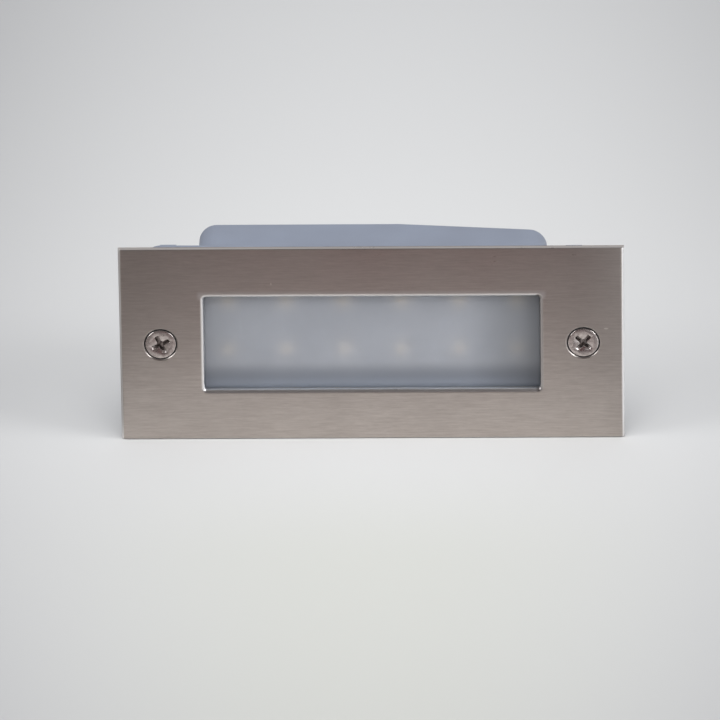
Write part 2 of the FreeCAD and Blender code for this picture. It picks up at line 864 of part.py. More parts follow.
def make_terminal_block():
    body = block(terminal_x, terminal_length, terminal_front, terminal_base, 0, terminal_height)
    tools = []
    for z in pole_heights():
        start = vector(terminal_x - terminal_length, terminal_hole_y, z)
        tools.append(Part.makeCylinder(terminal_hole_radius, 2 * terminal_length, start, along_x))
        for side in (-1, 1):
            tools.append(rod(terminal_screw_hole_radius, terminal_x + side * terminal_screw_offset, z,
                             terminal_front - 1, terminal_hole_y))
    tools.append(rod(block_screw_head_radius + seat_gap, terminal_x, 0, terminal_front - 1, block_screw_seat))
    tools.append(rod(block_screw_radius + seat_gap, terminal_x, 0, terminal_front, terminal_base + 1))
    groove = block(terminal_x, terminal_groove_width, terminal_front - 1,
                   terminal_front + terminal_groove_depth, 0, terminal_height + 2)
    return cut_all(body, tools + [groove])


def make_terminal_clamps():
    clamps = []
    for z in pole_heights():
        start = vector(terminal_x - clamp_length / 2, terminal_hole_y, z)
        sleeve = Part.makeCylinder(clamp_outer_radius, clamp_length, start, along_x)
        tools = [Part.makeCylinder(clamp_inner_radius, 2 * clamp_length,
                                   vector(terminal_x - clamp_length, terminal_hole_y, z), along_x)]
        for side in (-1, 1):
            tools.append(rod(terminal_screw_radius + thread_gap, terminal_x + side * terminal_screw_offset, z,
                             terminal_front, terminal_hole_y))
        clamps.append(cut_all(sleeve, tools))
    return clamps


def make_terminal_screws():
    screws = []
    for z in pole_heights():
        for side in (-1, 1):
            x = terminal_x + side * terminal_screw_offset
            head = terminal_front + terminal_screw_sink
            foot = terminal_hole_y - wire_end_radius - press_gap
            body = rod(terminal_screw_radius, x, z, head, foot)
            slot = block(x, 2 * terminal_screw_radius + 1, head - 1, head + terminal_slot_depth, z,
                         terminal_slot_width)
            screws.append(body.cut(slot))
    return screws


def make_block_screw():
    return pan_screw(terminal_x, 0, block_screw_seat, block_screw_head_radius, block_screw_head_height,
                     block_screw_radius, block_screw_length, 1)


# ---- cable gland -------------------------------------------------------------------------------

def gland_flange_start():
    return box_depth + gland_washer_thickness


def gland_collar_start():
    return gland_flange_start() + gland_flange_depth


def gland_seat_end():
    return gland_collar_start() + gland_insert_length + seat_gap / 2


def make_gland_body():
    start = box_depth - box_wall - gland_stub_length
    flange_start = gland_flange_start()
    collar_start = gland_collar_start()
    collar_end = collar_start + gland_collar_length
    stub = threaded_rod(gland_thread_radius, gland_thread_depth, gland_thread_pitch, gland_x, 0,
                        start, flange_start + 0.5)
    flange = hexagon(gland_flange_flats, gland_x, 0, flange_start, collar_start, gland_hex_chamfer)
    collar = threaded_rod(gland_collar_radius, gland_thread_depth, gland_thread_pitch, gland_x, 0,
                          collar_start - 0.5, collar_end)
    solid = fuse_all([stub, flange, collar])
    bore = rod(gland_bore_radius, gland_x, 0, start - 1, collar_start + 1)
    seat = rod(gland_seat_radius, gland_x, 0, collar_start, collar_end + 1)
    return cut_all(solid, [bore, seat])


def make_gland_washer():
    inner_radius = gland_thread_radius + thread_gap
    return ring(gland_washer_radius, inner_radius, gland_x, 0, box_depth, gland_flange_start())


def make_gland_locknut():
    start = rear_inside - gland_locknut_thickness
    nut = hexagon(gland_locknut_flats, gland_x, 0, start, rear_inside, gland_hex_chamfer)
    return nut.cut(rod(gland_thread_radius + thread_gap, gland_x, 0, start - 1, rear_inside + 1))


def make_gland_insert():
    start = gland_collar_start() + press_gap
    return ring(gland_seat_radius - seat_gap / 2, gland_insert_bore_radius, gland_x, 0, start,
                start + gland_insert_length)


def make_gland_ring():
    start = gland_seat_end()
    outer = gland_seat_radius - seat_gap / 2
    return ring(outer, gland_ring_inner_radius, gland_x, 0, start, start + gland_ring_thickness)


def make_gland_nut():
    start = gland_collar_start() + gland_nut_start
    skirt_end = start + gland_nut_skirt
    end = skirt_end + gland_nut_dome
    corner_radius = gland_nut_flats / math.sqrt(3)
    chamfer = gland_hex_chamfer
    shoulder = gland_nut_flats / 2 - gland_nut_shoulder
    dome = [(0, start), (corner_radius - chamfer, start), (corner_radius, start + chamfer)]
    dome += [(corner_radius, skirt_end - chamfer), (shoulder, skirt_end)]
    dome += [(shoulder - gland_nut_dome / 6, skirt_end + gland_nut_dome / 2)]
    dome += [(gland_nut_opening_radius + gland_nut_lip, end), (0, end)]
    prism = hexagon(gland_nut_flats, gland_x, 0, start, end, press_gap)
    nut = prism.common(turned(dome, gland_x, 0))
    inner_end = gland_seat_end() + gland_ring_thickness + thread_gap
    bore = rod(gland_collar_radius + running_gap, gland_x, 0, start - 1, inner_end)
    opening = rod(gland_nut_opening_radius, gland_x, 0, start, end + 1)
    return cut_all(nut, [bore, opening])


# ---- wiring ------------------------------------------------------------------------------------

def wire_path(points, radius):
    """Straight runs joined by tangent arcs of one radius."""
    edges = []
    start = points[0]
    for before, corner, after in zip(points, points[1:], points[2:]):
        inward = (before - corner).normalize()
        outward = (after - corner).normalize()
        half = inward.getAngle(outward) / 2
        reach = radius / math.tan(half)
        first = corner + inward * reach
        last = corner + outward * reach
        centre = corner + (inward + outward).normalize() * (radius / math.sin(half))
        middle = centre + (corner - centre).normalize() * radius
        edges.append(Part.LineSegment(start, first).toShape())
        edges.append(Part.Arc(first, middle, last).toShape())
        start = last
    edges.append(Part.LineSegment(start, points[-1]).toShape())
    return Part.Wire(edges)


def make_wire(places):
    points = [vector(*place) for place in places]
    path = wire_path(points, wire_bend_radius)
    section = Part.Wire(Part.makeCircle(wire_radius, points[0], points[1] - points[0]))
    tube = path.makePipeShell([section], True, False)
    section_area = math.pi * wire_radius ** 2
    ratio = tube.Volume / (path.Length * section_area)
    print("wire length", round(path.Length, 1), "volume ratio", round(ratio, 4))
    return tube


def make_supply_wire(z):
    inside = terminal_x + terminal_length / 2 - wire_hold
    edge = driver_board_x - driver_board_width / 2
    crest = terminal_hole_y - supply_wire_rise
    landing = edge + supply_wire_landing
    places = [(inside, terminal_hole_y, z), (edge - supply_wire_bend_start, terminal_hole_y, z),
              (edge - supply_wire_bend_end, crest, z),
              (landing, crest, z), (landing, driver_board_front, z)]
    bare_start = vector(inside - wire_bare_length, terminal_hole_y, z)
    bare_end = Part.makeCylinder(wire_end_radius, wire_bare_length + 1, bare_start, along_x)
    return make_wire(places).fuse(bare_end)


def make_lamp_wire(z):
    x = driver_board_x + driver_board_width / 2 - lamp_wire_inset
    middle = (driver_board_front + led_board_back) / 2
    far = x - lamp_wire_shift
    places = [(x, driver_board_front, z), (x, middle + lamp_wire_slant / 2, z),
              (far, middle - lamp_wire_slant / 2, z), (far, led_board_back, z)]
    return make_wire(places)


pieces = {
    "faceplate": [make_faceplate()],
    "housing": [make_housing()],
    "face_seal": [make_face_seal()],
    "diffuser_pane": [make_pane()],
    "pane_gasket": [make_pane_gasket()],
    "reflector_tray": [make_tray()],
    "tray_screws": make_tray_screws(),
    "led_board": [make_led_board()],
    "leds": make_leds(),
    "led_resistors": make_led_resistors(),
    "led_board_screws": make_led_board_screws(),
    "left_screw": [make_cover_screw(-1, left_recess_angle)],
    "right_screw": [make_cover_screw(1, right_recess_angle)],
    "left_screw_seal": [make_screw_seal(-1)],
    "right_screw_seal": [make_screw_seal(1)],
    "screw_inserts": make_inserts(),
    "driver_board": [make_driver_board()],
    "driver_screws": make_driver_screws(),
    "electrolytic_capacitor": [make_electrolytic()],
    "film_capacitor": [make_film_capacitor()],
    "bridge_rectifier": [make_bridge()],
    "fuse": [make_fuse()],
    "inductor_core": [make_inductor_core()],
    "inductor_coil": [make_inductor_coil()],
    "controller_chip": [make_chip()],
    "driver_resistors": make_driver_resistors(),
    "terminal_block": [make_terminal_block()],
    "terminal_clamps": make_terminal_clamps(),
    "terminal_screws": make_terminal_screws(),
    "terminal_block_screw": [make_block_screw()],
    "gland_body": [make_gland_body()],
    "gland_washer": [make_gland_washer()],
    "gland_locknut": [make_gland_locknut()],
    "gland_insert": [make_gland_insert()],
    "gland_ring": [make_gland_ring()],
    "gland_nut": [make_gland_nut()],
    "wire_live": [make_supply_wire(terminal_pitch / 2)],
    "wire_neutral": [make_supply_wire(-terminal_pitch / 2)],
    "wire_led_positive": [make_lamp_wire(lamp_wire_heights[0])],
    "wire_led_negative": [make_lamp_wire(lamp_wire_heights[1])],
}

os.makedirs("parts", exist_ok=True)
for name, solids in pieces.items():
    shape = solids[0] if len(solids) == 1 else Part.makeCompound(solids)
    if len(shape.Solids) != len(solids) or not shape.isValid():
        print("check", name, len(shape.Solids), "solids", shape.isValid())
    shape.exportStep("parts/" + name + ".step")
print(len(pieces), "nodes written")
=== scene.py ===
import math

import bpy
from mathutils import Matrix, Quaternion, Vector


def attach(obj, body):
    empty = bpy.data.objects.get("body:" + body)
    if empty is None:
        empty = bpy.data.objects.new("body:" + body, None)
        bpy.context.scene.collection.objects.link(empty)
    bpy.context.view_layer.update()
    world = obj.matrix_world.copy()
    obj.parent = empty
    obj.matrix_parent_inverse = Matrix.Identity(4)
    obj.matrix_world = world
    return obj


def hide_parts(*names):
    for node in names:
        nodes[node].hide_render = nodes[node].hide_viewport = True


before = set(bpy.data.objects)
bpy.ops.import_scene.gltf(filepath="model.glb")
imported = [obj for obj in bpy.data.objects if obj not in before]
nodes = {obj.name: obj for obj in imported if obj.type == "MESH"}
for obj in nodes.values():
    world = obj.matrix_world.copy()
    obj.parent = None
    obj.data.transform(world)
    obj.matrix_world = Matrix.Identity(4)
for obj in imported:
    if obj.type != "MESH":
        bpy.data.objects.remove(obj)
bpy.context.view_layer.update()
print("frame loaded:", len(nodes), "nodes")

mm = 0.001


camera = {"aim": (-0.00409, -0.008, -0.00603), "turn": 1.302, "rise": 24.6, "roll": -0.802,
          "away": 4.153, "lens": 615.9, "sensor": 36, "near": 0.1, "far": 60}


def addCamera():
    turn, rise = math.radians(camera["turn"]), math.radians(camera["rise"])
    back = Vector((math.sin(turn) * math.cos(rise), -math.cos(turn) * math.cos(rise), math.sin(rise)))
    data = bpy.data.cameras.new("camera")
    data.lens, data.sensor_width = camera["lens"], camera["sensor"]
    data.clip_start, data.clip_end = camera["near"], camera["far"]
    view = bpy.data.objects.new("camera", data)
    bpy.context.scene.collection.objects.link(view)
    view.rotation_mode = "QUATERNION"
    view.location = Vector(camera["aim"]) + back * camera["away"]
    roll = Quaternion((0, 0, 1), math.radians(camera["roll"]))
    view.rotation_quaternion = (-back).to_track_quat("-Z", "Y") @ roll
    bpy.context.scene.camera = view


addCamera()
bpy.context.scene.view_settings.view_transform = "Standard"


class Value:  # a socket that takes part in plain sums
    def __init__(self, finish, socket):
        self.finish, self.socket = finish, socket

    def sum(self, operation, first, second):
        return self.finish.node("Math", {"operation": operation}, {0: first, 1: second})

    def __add__(self, other):
        return self.sum("ADD", self, other)

    def __radd__(self, other):
        return self.sum("ADD", other, self)

    def __sub__(self, other):
        return self.sum("SUBTRACT", self, other)

    def __rsub__(self, other):
        return self.sum("SUBTRACT", other, self)

    def __neg__(self):
        return self.sum("SUBTRACT", 0, self)

    def __mul__(self, other):
        return self.sum("MULTIPLY", self, other)

    def __rmul__(self, other):
        return self.sum("MULTIPLY", other, self)

    def __truediv__(self, other):
        return self.sum("DIVIDE", self, other)

    def __pow__(self, other):
        return self.sum("POWER", self, other)


class Finish:  # the nodes of one material, or of the world
    def __init__(self, name, kind="materials", coordinates="Object"):
        self.holder = getattr(bpy.data, kind).new(name)
        self.holder.use_nodes = True
        self.tree = self.holder.node_tree
        self.tree.nodes.clear()
        self.place = self.node("TexCoord", {}, {}, coordinates)

    def node(self, kind, settings, inputs, output=0):
        made = self.tree.nodes.new("ShaderNode" + kind)
        for key, value in settings.items():
            if key == "stops":
                for stop, (position, shade) in zip(made.color_ramp.elements, value):
                    stop.position, stop.color = position, (*shade, 1)
            else:
                setattr(made, key, value)
        for key, value in inputs.items():
            socket = made.inputs[key]
            if isinstance(value, Value):
                self.tree.links.new(value.socket, socket)
            elif socket.type == "RGBA" and len(value) == 3:
                socket.default_value = (*value, 1)
            else:
                socket.default_value = value
        return Value(self, made.outputs[output]) if made.outputs else None

    def noise(self, scale, detail=2, roughness=0.5):  # three scales stretch the grain along the axes
        vector = self.place
        if isinstance(scale, tuple):
            vector, scale = self.node("Mapping", {}, {"Vector": vector, "Scale": scale}), 1
        inputs = {"Vector": vector, "Scale": scale, "Detail": detail, "Roughness": roughness}
        return self.node("TexNoise", {}, inputs, "Fac")

    def between(self, value, low, high, start=0, end=1, shape="LINEAR"):
        inputs = {"Value": value, 1: low, 2: high, 3: start, 4: end}
        return self.node("MapRange", {"interpolation_type": shape}, inputs)

    def mix(self, share, first, second, blend="MIX"):
        settings = {"data_type": "RGBA", "blend_type": blend}
        return self.node("Mix", settings, {0: share, 6: first, 7: second}, 2)

    def bump(self, height, strength, distance=0.02 * mm):
        inputs = {"Height": height, "Strength": strength, "Distance": distance}
        return self.node("Bump", {}, inputs, "Normal")

    def unsigned(self, value):
        return self.node("Math", {"operation": "ABSOLUTE"}, {0: value})

    def axes(self):
        split = self.node("SeparateXYZ", {}, {"Vector": self.place}).socket.node
        return [Value(self, out) for out in split.outputs]

    def surface(self, inputs):
        return self.show(self.node("BsdfPrincipled", {}, inputs, "BSDF"))

    def show(self, shader, kind="OutputMaterial"):
        self.node(kind, {}, {"Surface": shader})
        return self.holder


span = {  # the part of a noise's range that a blend runs over
    "wide": (0.3, 0.7), "middle": (0.35, 0.65), "lower": (0.35, 0.7),
    "upper": (0.4, 0.7), "high": (0.45, 0.75), "peaks": (0.55, 0.75),
}


steel = {
    "dark": (0.47, 0.435, 0.415), "light": (0.62, 0.585, 0.56),
    "clouded": (0.52, 0.49, 0.47), "cloudShare": 0.25, "cloudScale": 38,
    "longGrain": [(110, 900, 1500), 4, 0.6], "fineGrain": [(330, 2500, 2600), 3, 0.7], "longShare": 0.6,
    "rough": 0.33, "rougher": 0.07, "smoother": 0.05, "cloudRough": 0.03,
    "grainDepth": 0.3, "grainHeight": 0.04 * mm, "anisotropy": 0.75, "grainTurn": 0.25,
    "front": -8 * mm, "windowTop": 18.5 * mm, "windowSide": 58 * mm, "screwAt": 71.25 * mm,
    "edge": (0.80, 0.81, 0.82), "edgeRough": 0.32,  # the window's and the outer edges are burnished, and lightened further as painted highlight
    "edgeStart": (0.01 * mm, 0.1 * mm), "edgeEnd": (1.65 * mm, 1.5 * mm),
    "screwClear": (6.6 * mm, 7.2 * mm), "lipShare": 0.5,
    "lipAbove": 1.2 * mm, "lipBeyond": 1 * mm, "lipFoot": (16 * mm, 17 * mm),
    # painted shade on the window's right edge
    "rightEdgeShade": (0.40, 0.385, 0.38),
    "rightEdgeShadeBeside": (3 * mm, 2 * mm), "rightEdgeShadeWithin": (20 * mm, 19 * mm),
    "mark": (0.88, 0.86, 0.82), "markShare": 0.6, "markRim": (1, 0.4),
    "marks": [(78.9, 5.2, 0.9, 0.35), (-33.7, 22.2, 0.25, 0.6)],  # x, z, half length, half height in mm
}


def brushedSteel():
    f = Finish("brushedSteel")
    x, y, z = f.axes()
    long, fine = f.noise(*steel["longGrain"]), f.noise(*steel["fineGrain"])
    cloud = f.noise(steel["cloudScale"])
    streak = long * steel["longShare"] + fine * (1 - steel["longShare"])
    # the plate's edges: burnished, and lightened as painted highlight
    burnishAndHighlight = f.between(y, *[steel["front"] + depth for depth in steel["edgeStart"]])
    fromScrew = ((f.unsigned(x) - steel["screwAt"]) ** 2 + z * z) ** 0.5
    burnishAndHighlight = burnishAndHighlight * f.between(y, *[steel["front"] + depth for depth in steel["edgeEnd"]])
    burnishAndHighlight = burnishAndHighlight * f.between(fromScrew, *steel["screwClear"])
    # painted highlight: a soft bright band on the front face along the window's top lip
    lip = f.between(z, steel["windowTop"] + steel["lipAbove"], steel["windowTop"])
    lip = lip * f.between(z, *steel["lipFoot"])
    lip = lip * f.between(f.unsigned(x), steel["windowSide"] + steel["lipBeyond"], steel["windowSide"])
    colour = f.mix(f.between(streak, *span["wide"]), steel["dark"], steel["light"])
    colour = f.mix(f.between(cloud, *span["upper"], 0, steel["cloudShare"]), colour, steel["clouded"])
    for markX, markZ, halfLong, halfHigh in steel["marks"]:  # a fleck and a small scratch
        off = ((x - markX * mm) / (halfLong * mm)) ** 2 + ((z - markZ * mm) / (halfHigh * mm)) ** 2
        colour = f.mix(f.between(off, *steel["markRim"], 0, steel["markShare"]), colour, steel["mark"])
    colour = f.mix(lip * steel["lipShare"], colour, steel["edge"])
    colour = f.mix(burnishAndHighlight, colour, steel["edge"])
    # painted shade: the window's right edge is darkened
    rightEdgeShade = f.between(f.unsigned(x - steel["windowSide"]), *steel["rightEdgeShadeBeside"])
    rightEdgeShade = rightEdgeShade * f.between(f.unsigned(z), *steel["rightEdgeShadeWithin"])
    colour = f.mix(burnishAndHighlight * rightEdgeShade, colour, steel["rightEdgeShade"])
    dull, shiny = steel["rough"] + steel["rougher"], steel["rough"] - steel["smoother"]
    rough = f.between(streak, *span["wide"], dull, shiny)
    rough = rough + f.between(cloud, *span["wide"], -steel["cloudRough"], steel["cloudRough"])
    rough = rough + burnishAndHighlight * (steel["edgeRough"] - steel["rough"])
    normal = f.bump(streak, steel["grainDepth"], steel["grainHeight"])
    return f.surface({"Base Color": colour, "Metallic": 1, "Roughness": rough, "Normal": normal,
                      "Anisotropic": steel["anisotropy"], "Anisotropic Rotation": steel["grainTurn"]})


plastic = {"cloudScale": 45, "flowScale": (60, 60, 14), "cloudShare": 0.6, "darkening": 1.6,
           "pitShare": 0.35, "smoother": 0.05, "rougher": 0.06, "pitRough": 0.06, "gloss": 0.5,
           "pitHeight": 0.03 * mm}


def mouldedPlastic(name, colour, grain, depth, rough, speck=0.06):
    f = Finish(name)
    pits = f.noise(grain)
    cloud = f.noise(plastic["cloudScale"], 3)
    flow = f.noise(plastic["flowScale"])
    darker = tuple(c * (1 - speck * plastic["darkening"]) for c in colour)
    lighter = tuple(min(1, c * (1 + speck)) for c in colour)
    blotch = cloud * plastic["cloudShare"] + flow * (1 - plastic["cloudShare"])
    tone = f.mix(f.between(blotch, *span["middle"]), darker, lighter)
    tone = f.mix(f.between(pits, *span["peaks"], 0, plastic["pitShare"]), tone, darker)
    dull = f.between(cloud, *span["wide"], rough - plastic["smoother"], rough + plastic["rougher"])
    dull = dull + pits * plastic["pitRough"]
    return f.surface({"Base Color": tone, "Roughness": dull, "Specular IOR Level": plastic["gloss"],
                      "Normal": f.bump(pits, depth, plastic["pitHeight"])})


metal = {"cloudScale": 300, "dulling": 2, "smoother": 0.06, "rougher": 0.1,
         "grainRough": 0.05, "grainDepth": 0.12}


def plainMetal(name, colour, rough, grain=1500, wear=0.12):
    f = Finish(name)
    fine = f.noise(grain, 3)
    cloud = f.noise(metal["cloudScale"], 3)
    dull = tuple(c * (1 - wear * metal["dulling"]) for c in colour)
    tone = f.mix(f.between(cloud, *span["upper"]), colour, dull)
    uneven = f.between(cloud, *span["lower"], rough - metal["smoother"], rough + metal["rougher"])
    uneven = uneven + fine * metal["grainRough"]
    return f.surface({"Base Color": tone, "Metallic": 1, "Roughness": uneven,
                      "Normal": f.bump(fine, metal["grainDepth"])})


seal = {"colour": (0.022, 0.022, 0.024), "bloom": 0.02, "bloomShare": 0.5, "bloomScale": 160,
        "grainScale": 4200, "rough": (0.62, 0.78), "gloss": 0.35, "grainDepth": 0.4}


def sealRubber():
    f = Finish("sealRubber")
    fine = f.noise(seal["grainScale"], 3)
    bloom = f.noise(seal["bloomScale"], 3)
    paler = tuple(c + seal["bloom"] for c in seal["colour"])
    tone = f.mix(f.between(bloom, *span["high"], 0, seal["bloomShare"]), seal["colour"], paler)
    return f.surface({"Base Color": tone, "Roughness": f.between(bloom, *span["wide"], *seal["rough"]),
                      "Specular IOR Level": seal["gloss"], "Normal": f.bump(fine, seal["grainDepth"])})


pane = {
    "low": (0.735, 0.765, 0.83), "high": (0.785, 0.815, 0.88),
    "frostScale": 5200, "frostDepth": 0.3, "cloudScale": 60,
    "clear": 0.62, "rough": (0.41, 0.46), "glassIndex": 1.45, "gloss": 0.4,
    "foot": 0.66, "footEdge": (7.3 * mm, 12.8 * mm),
    "footPaintedLight": 0.2, "footPaintedLightEdge": (13.5 * mm, 16.5 * mm),
    "footTone": (0.68, 0.76, 0.92), "footToneShare": 0.6, "footToneEdge": (9 * mm, 14 * mm),
    "right": 0.55, "rightEdge": (33 * mm, 54 * mm), "left": 0.9, "leftEdge": (30 * mm, 50 * mm),
}


def frostedPane():
    f = Finish("frostedPane")
    x, _, z = f.axes()
    frost = f.noise(pane["frostScale"])
    cloud = f.noise(pane["cloudScale"], 3)
    # painted shade: the borders are darker where what stands behind the pane shades them, with a painted
    # light band above the lower lip and a bluish painted shade tint in the lower band
    foot = f.between(-z, *pane["footEdge"], 1, pane["foot"], "SMOOTHSTEP")
    foot = foot + f.between(-z, *pane["footPaintedLightEdge"], 0, pane["footPaintedLight"])
    right = f.between(x, *pane["rightEdge"], 1, pane["right"])
    left = f.between(-x, *pane["leftEdge"], 1, pane["left"])
    shade = foot * right * left
    tone = f.mix(f.between(cloud, *span["middle"]), pane["low"], pane["high"])
    tone = f.mix(f.between(-z, *pane["footToneEdge"], 0, pane["footToneShare"]), tone, pane["footTone"])
    tone = f.mix(shade, (0, 0, 0), tone)
    return f.surface({"Base Color": tone, "Roughness": f.between(cloud, *span["wide"], *pane["rough"]),
                      "IOR": pane["glassIndex"], "Transmission Weight": pane["clear"],
                      "Specular IOR Level": pane["gloss"], "Normal": f.bump(frost, pane["frostDepth"])})


# the emission is painted light: the unlit LED glows faintly
ledLook = {"deep": (0.86, 0.66, 0.22), "pale": (0.95, 0.78, 0.36), "grainScale": 6000, "grainDepth": 0.2,
           "rough": (0.35, 0.5), "paintedGlow": (1.0, 0.74, 0.42), "paintedGlowPower": 0.62}


def lampYellow():
    f = Finish("lampYellow")
    fine = f.noise(ledLook["grainScale"])
    tone = f.mix(f.between(fine, *span["wide"]), ledLook["deep"], ledLook["pale"])
    return f.surface({"Base Color": tone, "Roughness": f.between(fine, *span["wide"], *ledLook["rough"]),
                      "Normal": f.bump(fine, ledLook["grainDepth"]), "Emission Color": ledLook["paintedGlow"],
                      "Emission Strength": ledLook["paintedGlowPower"]})


laminate = {"weaveScale": 520, "weaveWobble": 1.5, "weaveShare": 0.12, "weaveDark": 0.7, "laneScale": 210,
            "laneEdge": (0.05, 0.09), "rough": (0.32, 0.4), "lacquer": 0.25, "laneDepth": 0.2,
            "laneHeight": 0.03 * mm}


def board(name, mask, track):
    f = Finish(name)
    bands = {"wave_type": "BANDS", "bands_direction": "X"}
    inputs = {"Vector": f.place, "Scale": laminate["weaveScale"], "Distortion": laminate["weaveWobble"]}
    weave = f.node("TexWave", bands, inputs, "Fac")
    edges = {"feature": "DISTANCE_TO_EDGE"}
    lanes = f.node("TexVoronoi", edges, {"Vector": f.place, "Scale": laminate["laneScale"]}, "Distance")
    tone = f.mix(f.between(lanes, *laminate["laneEdge"]), mask, track)
    tone = f.mix(weave * laminate["weaveShare"], tone, tuple(c * laminate["weaveDark"] for c in mask))
    return f.surface({"Base Color": tone, "Roughness": f.between(weave, 0, 1, *laminate["rough"]),
                      "Coat Weight": laminate["lacquer"],
                      "Normal": f.bump(lanes, laminate["laneDepth"], laminate["laneHeight"])})


tube = {"low": (0.86, 0.9, 0.9), "high": (0.94, 0.96, 0.95), "cloudScale": 900, "cloudDepth": 0.1,
        "rough": (0.04, 0.1), "clear": 0.9, "glassIndex": 1.5}


def fuseGlass():
    f = Finish("fuseGlass")
    cloud = f.noise(tube["cloudScale"])
    return f.surface({"Base Color": f.mix(cloud, tube["low"], tube["high"]),
                      "Roughness": f.between(cloud, *span["wide"], *tube["rough"]),
                      "Transmission Weight": tube["clear"], "IOR": tube["glassIndex"],
                      "Normal": f.bump(cloud, tube["cloudDepth"])})


winding = {"deep": (0.70, 0.27, 0.12), "pale": (0.83, 0.42, 0.20), "turnScale": 900, "turnDepth": 0.4,
           "turnHeight": 0.05 * mm, "grainScale": 1200, "metallic": 0.9, "rough": (0.22, 0.34),
           "enamel": 0.6}


def enamelWire():
    f = Finish("copper")
    rings = {"wave_type": "RINGS", "rings_direction": "Y"}
    turns = f.node("TexWave", rings, {"Vector": f.place, "Scale": winding["turnScale"]}, "Fac")
    fine = f.noise(winding["grainScale"])
    tone = f.mix(f.between(fine, *span["lower"]), winding["deep"], winding["pale"])
    return f.surface({"Base Color": tone, "Metallic": winding["metallic"],
                      "Roughness": f.between(fine, *span["wide"], *winding["rough"]),
                      "Coat Weight": winding["enamel"],
                      "Normal": f.bump(turns, winding["turnDepth"], winding["turnHeight"])})


finishes = {
    "brushed_steel": brushedSteel(),
    "housing_plastic": mouldedPlastic("housingPlastic", (0.262, 0.294, 0.365), grain=2300, depth=0.5,
                                      rough=0.5, speck=0.05),
    "seal_rubber": sealRubber(),
    "frosted_glass": frostedPane(),
    "tray_white": mouldedPlastic("trayWhite", (0.78, 0.79, 0.80), grain=1800, depth=0.2, rough=0.4,
                                 speck=0.03),
    "zinc_steel": plainMetal("zincSteel", (0.66, 0.68, 0.70), rough=0.3),
    "board_white": board("boardWhite", (0.80, 0.81, 0.80), (0.74, 0.75, 0.74)),
    "lamp_yellow": lampYellow(),
    "component_black": mouldedPlastic("componentBlack", (0.028, 0.028, 0.030), grain=3500, depth=0.4,
                                      rough=0.45),
    "plated_steel": plainMetal("platedSteel", (0.66, 0.64, 0.63), rough=0.17, grain=2500, wear=0.06),
    "brass": plainMetal("brass", (0.83, 0.62, 0.26), rough=0.25),
    "board_green": board("boardGreen", (0.035, 0.19, 0.07), (0.06, 0.28, 0.10)),
    "capacitor_sleeve": mouldedPlastic("capacitorSleeve", (0.03, 0.035, 0.07), grain=900, depth=0.15,
                                       rough=0.25),
    "film_box": mouldedPlastic("filmBox", (0.62, 0.46, 0.10), grain=1500, depth=0.2, rough=0.3),
    "fuse_glass": fuseGlass(),
    "ferrite": mouldedPlastic("ferrite", (0.06, 0.06, 0.062), grain=1800, depth=0.6, rough=0.6),
    "copper": enamelWire(),
    "resistor_body": mouldedPlastic("resistorBody", (0.20, 0.42, 0.55), grain=2000, depth=0.2, rough=0.35),
    "terminal_nylon": mouldedPlastic("terminalNylon", (0.72, 0.73, 0.70), grain=1600, depth=0.2,
                                     rough=0.38, speck=0.04),
    "gland_nylon": mouldedPlastic("glandNylon", (0.06, 0.062, 0.066), grain=2000, depth=0.35, rough=0.42),
}
wires = {"brown": (0.22, 0.10, 0.05), "blue": (0.05, 0.14, 0.45), "red": (0.50, 0.04, 0.03),
         "black": (0.03, 0.03, 0.03)}
for word, colour in wires.items():
    name = "wire" + word.capitalize()
    finishes["wire_" + word] = mouldedPlastic(name, colour, grain=1200, depth=0.15, rough=0.4)
for node in nodes.values():
    node.data.materials[0] = finishes[node.data.materials[0].name]
print("finishes made:", len(finishes))


screw = {  # lengths in mm, angles in degrees
    "front": -8.0, "radius": 5.2, "rimRound": 0.42, "rimSteps": 6, "land": 0.15, "tip": -0.4,
    "apart": 142.5, "turns": {"left": -26, "right": -49}, "smoothAngle": 32,
    "neckRadius": 2.45, "neckLength": 0.3,
    "pitch": 0.8, "threadDepth": 0.35, "threadSteps": 40, "threadLead": 0.1,
    "recessLength": 6.8, "recessWidth": 1.4, "recessDepth": 2.2, "recessFoot": 4.2, "footWidth": 0.85,
    "recessLead": 0.2, "recessCorner": 0.22, "recessReach": 0.8, "edgeSoft": 0.2,
    "well": 1.35, "wellFoot": (0.92, 0.62), "wellTip": (1.1, 0.15), "wellSides": 40,
    "bright": (0.68, 0.64, 0.63), "dull": (0.45, 0.41, 0.40), "recessDark": (0.43, 0.40, 0.39),
    "recessDarkStart": (0.25, 1.2), "recessDarkEdge": (4.2, 3.6), "recessDarkRough": 0.15,
    "rough": (0.14, 0.28), "grainScale": 2600, "grainRough": 0.05, "grainDepth": 0.2, "smearScale": 1000,
}


def screwSteel(side, sign):
    f = Finish(side + "ScrewSteel")
    x, y, z = f.axes()
    across = x - sign * screw["apart"] / 2 * mm
    radius = (across * across + z * z) ** 0.5
    fine = f.noise(screw["grainScale"], 3)
    smear = f.noise(screw["smearScale"], 3)
    # darker and rougher inside the cross recess
    inside = f.between(y, *[(screw["front"] + depth) * mm for depth in screw["recessDarkStart"]])
    inside = inside * f.between(radius, *[edge * mm for edge in screw["recessDarkEdge"]])
    tone = f.mix(f.between(smear, *span["middle"]), screw["bright"], screw["dull"])
    tone = f.mix(inside, tone, screw["recessDark"])
    rough = f.between(smear, *span["lower"], *screw["rough"])
    rough = rough + fine * screw["grainRough"] + inside * screw["recessDarkRough"]
    return f.surface({"Base Color": tone, "Metallic": 1, "Roughness": rough,
                      "Normal": f.bump(fine, screw["grainDepth"])})


def selectOnly(*pieces):  # the last one becomes the active one
    bpy.ops.object.select_all(action="DESELECT")
    for piece in pieces:
        piece.select_set(True)
        bpy.context.view_layer.objects.active = piece


def named(name):
    piece = bpy.context.object
    piece.name = piece.data.name = name
    return piece


